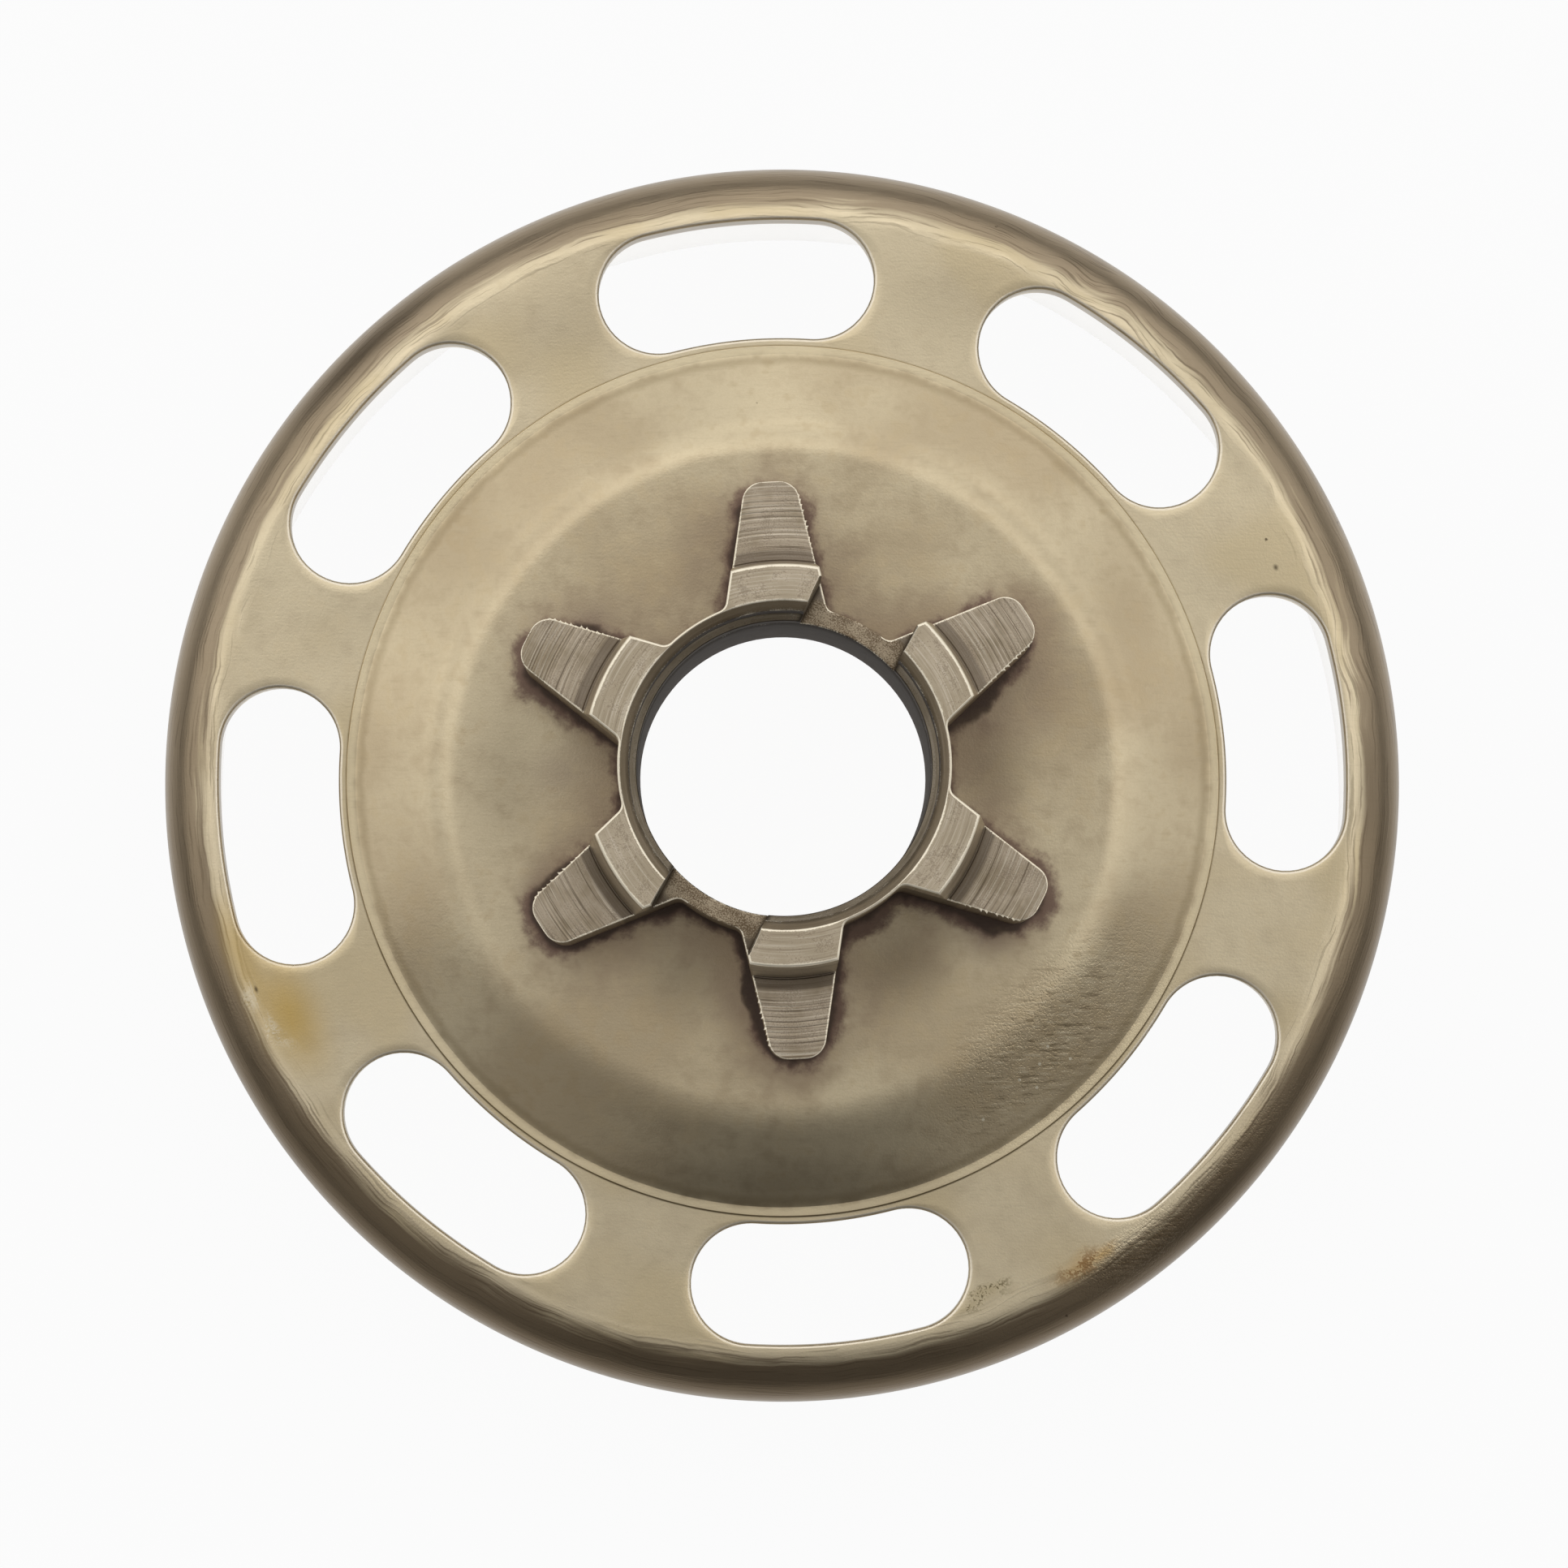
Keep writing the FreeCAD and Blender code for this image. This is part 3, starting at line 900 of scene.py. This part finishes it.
def cup_finish():
    """Satin khaki steel of the drawn cup, with a darker rim that is partly its own tone and partly painted
    shade, a line of painted highlight along the rim's bend, drawing streaks, a bright line and a dark line
    of painted shade along the slots, painted highlight, painted shadow and painted crease shade at the
    coined line, a heat tint round the sprocket's feet with a dark core that is partly flux and partly
    painted shade, patches of painted shade, a worked patch, a stain, rust and mould specks, scratches, pits
    and pale pocks. The wall inside is the bright track that the clutch shoes rub on."""
    f = Finish(bpy.data.materials.new("cup_satin_steel"))
    place, x, y, z = f.place()
    radius = f.length(x, y)
    outward = radius + (web_z - z)
    cosine, sine = x / radius, y / radius
    cloud = f.noise(place, 0.13, 1.0, 0.6)
    mottle = f.noise(place, 0.8, 2.0, 0.65)
    grain = f.noise(place, 8.0, 1.0, 0.6)
    swell = f.noise(place, 0.32, 0.0, 0.55)
    uneven, gritty = mottle - 0.5, grain - 0.5
    wrinkled = f.mark("wrinkled")
    wander = outward + (swell - 0.5) * (0.7 + wrinkled * 2.0) + uneven * 0.25
    streak = f.noise(f.vector(wander * 2.2, cosine * 3.4, sine * 3.4), 1.0, 1.0, 0.6)
    fine_streak = f.noise(f.vector(wander * 7.0, cosine * 8.0, sine * 8.0), 1.0, 1.0, 0.6)
    across, along = turned_axes(x, y, photo_turn_deg)
    brushed = f.noise(f.vector(across * 0.9, along * 6.0, z), 1.0, 1.0, 0.7)

    f.colour = srgb(184, 167, 137)
    f.paint(f.step(cloud + uneven * 0.6, 0.32, 0.7), (204, 189, 158))
    f.paint(f.step(mottle - cloud * 0.4, 0.3, 0.48) * 0.35, (178, 157, 122))
    f.paint((grain - 0.4) * 0.3, (160, 142, 112))

    on_web = f.step(radius, boss_foot_radius, boss_foot_radius + 0.6)
    golden = f.step(1 - cloud, 0.46, 0.62)
    f.paint(on_web * 0.45, (216, 202, 172))
    f.paint(golden * on_web * 0.4, (202, 184, 144))
    f.paint(f.mark("dull_web") * on_web * 0.4, (158, 144, 118))

    # Rim: painted darker, partly its own tone and partly painted shade for the dark surroundings that it
    # reflects, and darker still towards the lower side as painted shade
    on_rim = f.step(outward + (streak - 0.5) * 1.9 + (fine_streak - 0.5) * 0.9, *rim_begins)
    downhill = f.step(0.0 - along / radius, -0.5, 0.7)
    on_wall = f.step(outward, *wall_begins)
    # A painted highlight along the rim's bend, broken by streaks
    bend_highlight = (f.band(outward + (fine_streak - 0.5) * 0.9, highlight_middle, highlight_half_width)
                 * f.step(streak, 0.34, 0.62))
    scored = f.step(fine_streak, 0.58, 0.66) * f.step(radius, 29.0, 30.2)
    f.paint(on_rim * 0.9, (146, 130, 108))
    f.paint(on_rim * downhill * 0.6, (104, 88, 66))
    f.paint(on_wall * 0.7, (156, 141, 120))
    f.paint(bend_highlight * 0.5, (232, 216, 184))
    f.paint(scored * (0.35 + wrinkled * 0.15), (92, 78, 60))

    # Slot edges: a bright rolled line, and a dark line of painted shade right at the edge
    gap = f.mark("slot_gap")
    rolled = f.band(gap + uneven * 0.08, 0.12, 0.1)
    slot_edge_shade = f.fade(gap, 0.0, 0.04)
    f.paint(rolled * 0.75, (236, 226, 208))
    f.paint(slot_edge_shade * 0.6, (74, 64, 52))

    # Coined line: a dark crease line of painted shade, darker towards the lower side, a pale band of painted
    # highlight, and a brown band of painted shadow just inside it
    line = f.band(radius, boss_foot_radius + coined_width + coined_lean_out, 0.08)
    coined = f.band(radius + uneven * 0.3, boss_foot_radius + coined_width / 2, 0.4)
    coined_shadow = f.band(radius + uneven * 0.6, boss_foot_radius - 0.3, 0.4)
    f.paint(line * (0.3 + downhill * 0.4), (84, 70, 50))
    f.paint(coined * 0.55, (228, 212, 176))
    f.paint(coined_shadow * 0.35, (138, 120, 88))

    # Sprocket's feet: a heat tint, and a dark core that is partly flux and partly painted shade, heavier in
    # patches where shade falls under the teeth
    foot = f.mark("foot_gap")
    smoked = f.mark("smoked")
    ragged = foot + uneven * 1.5 + gritty * 0.4 - f.step(cloud, 0.45, 0.7) * 0.6
    tint = f.fade(ragged, 0.1, 0.85)
    flux_and_shade = f.fade(foot + uneven * 0.9 - smoked * 0.55, 0.05, 0.45)
    wide_tint = f.fade(foot + (cloud - 0.5) * 7.0 + uneven * 2.0, 0.0, 3.2)
    f.paint(f.both(smoked, f.step(mottle + cloud, 0.72, 1.1)) * 0.7, (124, 104, 92))
    f.paint(wide_tint * 0.5, (142, 121, 102))
    f.paint(tint * 0.85, (110, 84, 74))
    f.paint(flux_and_shade * 0.8, (64, 52, 43))
    # Patches of painted shade
    f.paint(f.mark("grimy"), (74, 62, 48))

    worked = f.mark("worked")
    f.paint(f.step(brushed, 0.56, 0.68) * worked * 0.55, (222, 208, 178))
    f.paint(f.step(1 - brushed, 0.56, 0.7) * (worked * 0.6 + 0.06), (112, 96, 72))

    rusty, mouldy = f.mark("rusty"), f.mark("mouldy")
    speck = f.step(mottle * 0.6 + grain * 0.4, 0.5, 0.56)
    scuffed = f.both(f.mark("scuffed"), f.step(grain * 0.6 + mottle * 0.7, 0.58, 0.74))
    f.paint(f.mark("amber_stain"), (192, 160, 88))
    f.paint(scuffed * 0.6, (224, 212, 186))
    f.paint(rusty * 0.7, (186, 150, 92))
    f.paint(f.both(rusty * speck, 1.4) * 0.7, (128, 90, 50))
    f.paint(mouldy * 0.5, (166, 148, 100))
    f.paint(f.both(mouldy * speck, 1.8) * 0.85, (84, 72, 40))
    f.paint(f.both(f.mark("nicked"), f.step(grain, 0.45, 0.6)), (236, 228, 212))

    pit = f.blot(x, y, *rim_pit) + f.blot(x, y, *web_pit)
    dot_gap, dot_pick = f.cells(place, 0.34, "3D")
    dot = f.fade(dot_gap + gritty * 0.06, 0.02, 0.045) * f.step(dot_pick, 0.62, 0.63)
    f.paint(f.most(pit, dot) * 0.8, (58, 44, 30))
    pock_gap, pock_pick = f.cells(place, 0.85, "2D")
    pock = f.fade(pock_gap, 0.05, 0.09) * f.step(pock_pick + f.mark("pocked"), 1.36, 1.4)
    f.paint(pock * 0.8, (232, 222, 198))

    inside = (f.fade(radius, wall_radius + 0.02, wall_radius + 0.1) * f.fade(z, under_z - 1.4, under_z - 0.8)
              * f.step(radius, wall_radius - 0.2, wall_radius - 0.05))
    f.paint(inside, (252, 251, 249))
    rough_rim = f.mark("rough_rim")
    f.paint(f.both(rough_rim * f.step(brushed, 0.4, 0.6), 0.6), (88, 72, 50))

    pits = f.step(1 - grain, 0.5, 0.68)
    rim_share = f.step(radius, 29.6, 31.0)
    relief = (grain * 0.45 + fine_streak * (rim_share * 0.9 + 0.15)
              + brushed * (worked * 1.1 + rough_rim * 1.4 + 0.2) - pits * (worked * 1.4 + rough_rim * 3.0))
    return f.surface(roughness=0.27 + mottle * 0.1 + tint * 0.15, metallic=0.92 - tint * 0.3,
                     relief=relief, relief_depth=0.03, relief_strength=0.35)


def sprocket_finish():
    """Turned, hardened grey-brown steel: edges painted bright, partly as wear and partly as a painted
    highlight, ring lines on the ends, a smooth band at the ring's foot with painted shade on the teeth
    towards the lower side, darker flanks, painted shade in the slot's corners and a pitted floor in the
    slot, a brown bore mouth and a bore painted nearly black as painted shade."""
    f = Finish(bpy.data.materials.new("sprocket_turned_steel"))
    place, x, y, z = f.place()
    radius = f.length(x, y)
    cosine, sine = x / radius, y / radius
    along = turned_axes(x, y, photo_turn_deg)[1]
    mottle = f.noise(place, 1.1, 2.0, 0.6)
    grain = f.noise(place, 13.0, 1.0, 0.65)
    blotch = f.noise(place, 0.35, 1.0, 0.6)
    rings = f.noise(f.vector(radius * 11.0, cosine * 1.6, sine * 1.6), 1.0, 2.0, 0.7)
    on_ring = f.step(z, tooth_face_z + 0.2, tooth_face_z + 0.4)
    below_face = f.fade(z, tooth_face_z - 0.3, tooth_face_z - 0.08)

    f.colour = srgb(146, 132, 110)
    f.paint(f.step(mottle * 0.5 + blotch * 0.5, 0.36, 0.62), (176, 162, 142))
    f.paint(on_ring * 0.45, (198, 184, 160))
    f.paint(f.step(rings, 0.52, 0.7) * 0.45, (222, 212, 194))
    f.paint(f.step(1 - rings, 0.54, 0.68) * (0.7 - on_ring * 0.4), (84, 71, 55))
    f.paint(f.step(mottle * 0.5 + grain * 0.5, 0.52, 0.62) * 0.35, (92, 76, 56))

    smooth_band = (f.fade(radius, ring_foot_radius + 0.5, ring_foot_radius + 0.72)
                   * f.fade(z, tooth_face_z + 0.1, tooth_face_z + 0.3))
    slot_floor = (f.fade(radius, root_radius + 0.2, root_radius + 0.6)
                  * f.fade(z, tooth_face_z + 0.05, tooth_face_z + 0.1))
    pitted = f.mix(f.step(grain * 0.6 + mottle * 0.4, 0.4, 0.6), srgb(106, 88, 66), srgb(186, 170, 144))
    # Painted shade in the slot's corners, along the ring's cut ends
    corner = (f.band(f.math("ABSOLUTE", x), slot_half_width, 0.28)
              * f.fade(z, ring_face_z - 0.25, ring_face_z - 0.1) * (1 - below_face))
    shaded = smooth_band * (1 - slot_floor) * f.step(0.0 - along, 0.0, 8.0)
    f.paint(smooth_band * 0.7, (116, 104, 90))
    f.paint(below_face * 0.6, (120, 104, 86))
    f.paint(slot_floor * (1 - below_face) * 0.75, pitted)
    f.paint(corner * 0.85, (56, 46, 34))
    f.paint(shaded * 0.4, (66, 54, 38))

    mouth = (f.fade(radius, relief_radius + mouth_chamfer - 0.06, relief_radius + mouth_chamfer)
             * f.step(z, ring_face_z - mouth_chamfer - 0.1, ring_face_z - mouth_chamfer))
    relieved = (f.fade(radius, relief_radius + 0.005, relief_radius + 0.03)
                * f.step(z, relief_ledge_z, relief_ledge_z + 0.05))
    # The bore is painted nearly black, as painted shade in the deep hole
    in_bore = f.least(f.fade(radius, bore_radius + 0.02, bore_radius + 0.06) + relieved, 1.0)
    # Edges painted bright: partly wear, partly a painted highlight where edges catch the light
    worn = f.mark("wear") * (1 + on_ring * 0.25) + (mottle - 0.5) * 1.2 + (grain - 0.5) * 1.2
    bright_wear_and_glint = f.step(worn, 0.45, 1.0)
    f.paint(mouth * 0.7, (164, 146, 120))
    f.paint(in_bore * 0.92, (58, 48, 38))
    f.paint(bright_wear_and_glint * 0.9, (248, 238, 216))
    return f.surface(roughness=0.38 + mottle * 0.12 + in_bore * 0.4, metallic=0.95 - in_bore * 0.3,
                     relief=grain * 0.6 + rings * 0.7, relief_depth=0.02, relief_strength=0.3)


def photo_direction(azimuth_deg, polar_deg):
    """Unit vector at an azimuth measured in the photograph, where 90 is up, and an angle from +Z."""
    azimuth = math.radians(azimuth_deg + photo_turn_deg)
    polar_angle = math.radians(polar_deg)
    return Vector((math.sin(polar_angle) * math.cos(azimuth), math.sin(polar_angle) * math.sin(azimuth),
                   math.cos(polar_angle)))


def add_camera():
    """Camera above the end face, a little towards the picture's lower edge, level with the photograph."""
    distance = 290.0
    target = Vector((0, 0, web_z))
    data = bpy.data.cameras.new("camera")
    camera = added("camera", data)
    focal_pixels = 6795.0
    aim_right, aim_up = 1.4, 6.0
    data.sensor_width = 36.0
    data.lens = focal_pixels / photo_side * data.sensor_width
    data.shift_x = aim_right / photo_side
    data.shift_y = -aim_up / photo_side
    lean_azimuth_deg, lean_deg = -97.0, 3.2
    back = photo_direction(lean_azimuth_deg, lean_deg)
    up = photo_direction(90.0, 90.0)
    right = up.cross(back).normalized()
    up = back.cross(right)
    place = target + back * distance
    camera.matrix_world = Matrix.Translation(place * MM) @ Matrix((right, up, back)).transposed().to_4x4()
    data.clip_start, data.clip_end = 0.01, 20.0
    bpy.context.scene.camera = camera


def add_lamp(name, azimuth_deg, polar_deg, spread_deg, radiance):
    """Soft square lamp that faces the part from a direction in the photograph, seen from it under
    spread_deg."""
    distance = 800.0
    side = 2 * distance * math.tan(math.radians(spread_deg / 2)) * MM
    data = bpy.data.lights.new(name, "AREA")
    data.shape = "SQUARE"
    data.size = side
    data.energy = radiance * math.pi * side * side
    lamp = added(name, data)
    way = photo_direction(azimuth_deg, polar_deg)
    lamp.location = (way * distance + Vector((0, 0, web_z))) * MM
    lamp.rotation_mode = "QUATERNION"
    lamp.rotation_quaternion = way.to_track_quat("Z", "Y")
    lamp.visible_camera = False


def add_floor():
    """Pale floor that is white to the camera and through glass. The light that it gives the part is full
    inside the cup and dimmed outside it, less so near the cup and towards the photograph's upper edge."""
    half_side = 2000.0 * MM
    dimmed, uphill_gain, near_gain = 0.5, 0.2, 0.35
    shadow_share = 0.05
    mesh = bpy.data.meshes.new("floor")
    corners = [(-half_side, -half_side, 0), (half_side, -half_side, 0), (half_side, half_side, 0),
               (-half_side, half_side, 0)]
    mesh.from_pydata(corners, [], [(0, 1, 2, 3)])
    floor = added("floor", mesh)
    f = Finish(bpy.data.materials.new("floor_white"))
    x, y = f.place()[1:3]
    radius = f.length(x, y)
    seen = f.most(f.node("ShaderNodeLightPath", {}, {}, "Is Camera Ray"),
                  f.node("ShaderNodeLightPath", {}, {}, "Is Transmission Ray"))
    uphill = f.step(turned_axes(x, y, photo_turn_deg)[1], -20.0, 30.0)
    around_cup = f.step(radius, wall_radius - 0.3, wall_radius)
    near_cup = f.fade(radius, 50.0, 85.0)
    level = f.most(seen, 1 - around_cup * (dimmed - uphill * uphill_gain - near_cup * near_gain))
    f.paint(level, (255, 255, 255))
    paper = f.node("ShaderNodeBsdfDiffuse", {}, {"Color": (0.5, 0.5, 0.5, 1)})
    glow = f.node("ShaderNodeEmission", {}, {"Color": f.colour, "Strength": 1.0})
    surface = f.node("ShaderNodeMixShader", {}, {0: 1 - seen * shadow_share, 1: paper, 2: glow})
    f.node("ShaderNodeOutputMaterial", {}, {"Surface": surface})
    mesh.materials.append(f.owner)


def add_world():
    """Plain world that is white to the camera and gives the part a dim grey light."""
    dim_strength = 0.19
    world = bpy.data.worlds.new("studio")
    bpy.context.scene.world = world
    f = Finish(world)
    sight = f.node("ShaderNodeLightPath", {}, {}, "Is Camera Ray")
    dim = f.node("ShaderNodeBackground", {}, {"Strength": dim_strength})
    white = f.node("ShaderNodeBackground", {}, {"Color": (1, 1, 1, 1)})
    surface = f.node("ShaderNodeMixShader", {}, {0: sight, 1: dim, 2: white})
    f.node("ShaderNodeOutputWorld", {}, {"Surface": surface})


# Rings of lamps: name, angle from +Z, size seen from the part, then the azimuths and radiances
lamp_rings = (
    ("high", 28.0, 30.0, (0, 45, 90, 135, 180, 225, 315), (0.82, 0.6, 0.8, 0.85, 0.55, 0.2, 0.18)),
    ("low", 60.0, 34.0, (0, 36, 72, 108, 144, 180, 225, 315),
     (0.77, 0.86, 0.96, 0.88, 0.97, 0.91, 0.23, 0.23)))


def add_lamps():
    """Half-dome of soft lamps: one overhead and two rings, weak towards the photograph's lower edge."""
    add_lamp("lamp_overhead", azimuth_deg=90.0, polar_deg=0.01, spread_deg=22.0, radiance=0.42)
    for ring, polar_deg, spread_deg, azimuths, radiances in lamp_rings:
        for azimuth, radiance in zip(azimuths, radiances):
            add_lamp("lamp_%s_%d" % (ring, azimuth), azimuth, polar_deg, spread_deg, radiance)


cup = build_cup(cup_finish())
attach(cup, "root")
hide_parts("drum_cup")
sprocket = build_sprocket(sprocket_finish())
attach(sprocket, "root")
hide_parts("sprocket")
add_camera()
add_floor()
add_world()
add_lamps()
bpy.context.scene.view_settings.view_transform = "Standard"
